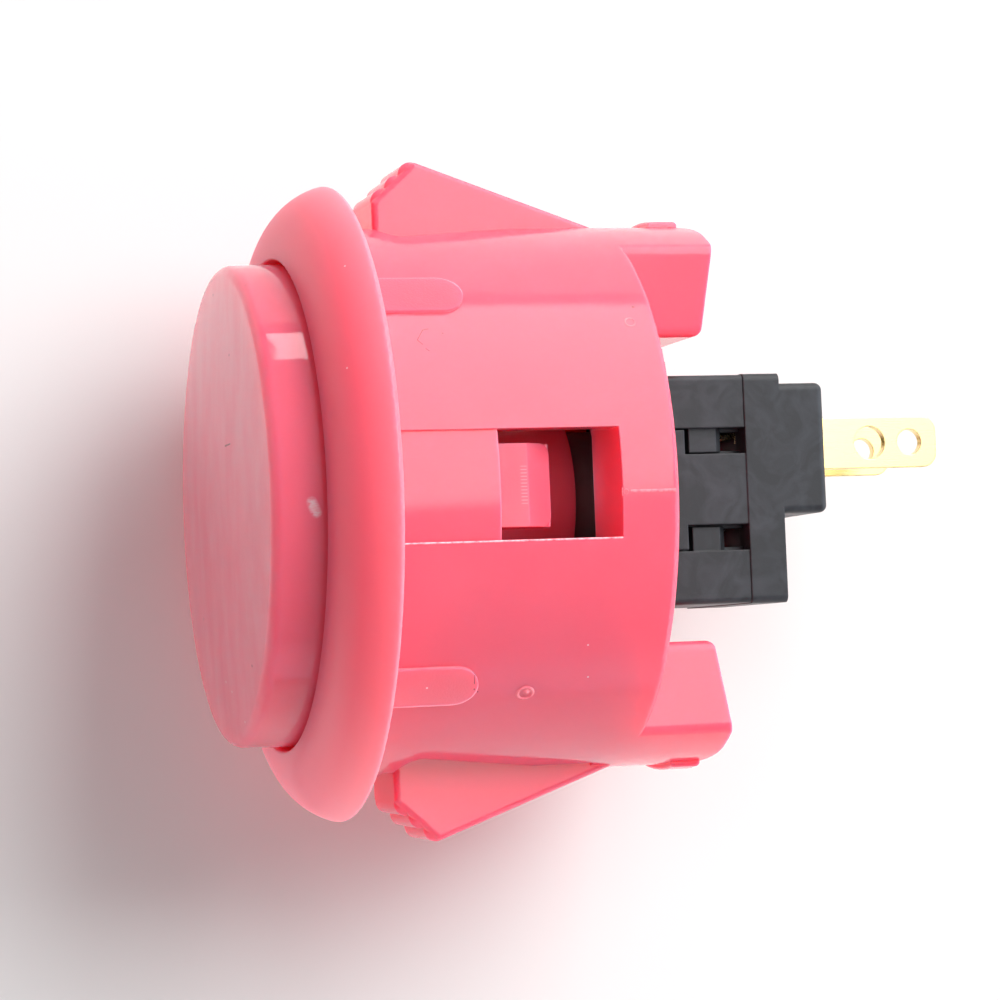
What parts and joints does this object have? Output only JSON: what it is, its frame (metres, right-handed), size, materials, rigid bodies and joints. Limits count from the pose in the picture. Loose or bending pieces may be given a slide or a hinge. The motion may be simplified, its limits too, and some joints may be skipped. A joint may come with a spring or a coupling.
{
  "type": "arcade push button",
  "caption": "Round snap-in push button with a domed bezel, serrated snap arms, release tabs, a sprung plunger and a rear switch with blade terminals.",
  "frame": {"origin": "centre of the bezel's underside, in the plane of the panel that it seats on", "axes": "+Z out of the panel along the press axis, +X through the snap arms, +Y through the windows"},
  "size_m": [0.0364, 0.034, 0.0397],
  "materials": {
    "pink_plastic": "glossy moulded",
    "black_plastic": "matte moulded",
    "gilt_metal": "gilt plated",
    "contact_metal": "polished",
    "spring_steel": "drawn wire"
  },
  "bodies": {
    "housing": {"housing": "pink_plastic", "switch_cover": "black_plastic", "switch_base": "black_plastic", "common_terminal": "gilt_metal", "open_terminal": "gilt_metal", "fixed_contact": "contact_metal", "return_spring": "spring_steel"},
    "plunger": {"plunger": "pink_plastic"},
    "actuator": {"actuator": "black_plastic"},
    "contact_arm": {"contact_arm": "gilt_metal", "moving_contact": "contact_metal"}
  },
  "joints": [
    {"name": "plunger_press", "type": "slide", "parent": "housing", "child": "plunger", "axis": [0, 0, -1], "range_m": [0, 0.003], "stiffness_N_per_m": 250, "springref_m": -0.003, "deforming": ["return_spring"]},
    {"name": "actuator_press", "type": "slide", "parent": "housing", "child": "actuator", "axis": [0, 0, -1], "range_m": [0, 0.003]},
    {"name": "contact_rock", "type": "hinge", "parent": "housing", "child": "contact_arm", "pos_m": [0.0039, -0.0025, -0.02225], "axis": [-1, 0, 0], "range_deg": [0, 6.61]}
  ],
  "couplings": [
    {"joint": "actuator_press", "follows": "plunger_press", "ratio": 1},
    {"joint": "contact_rock", "follows": "plunger_press", "rad_per_m": 38.397}
  ]
}
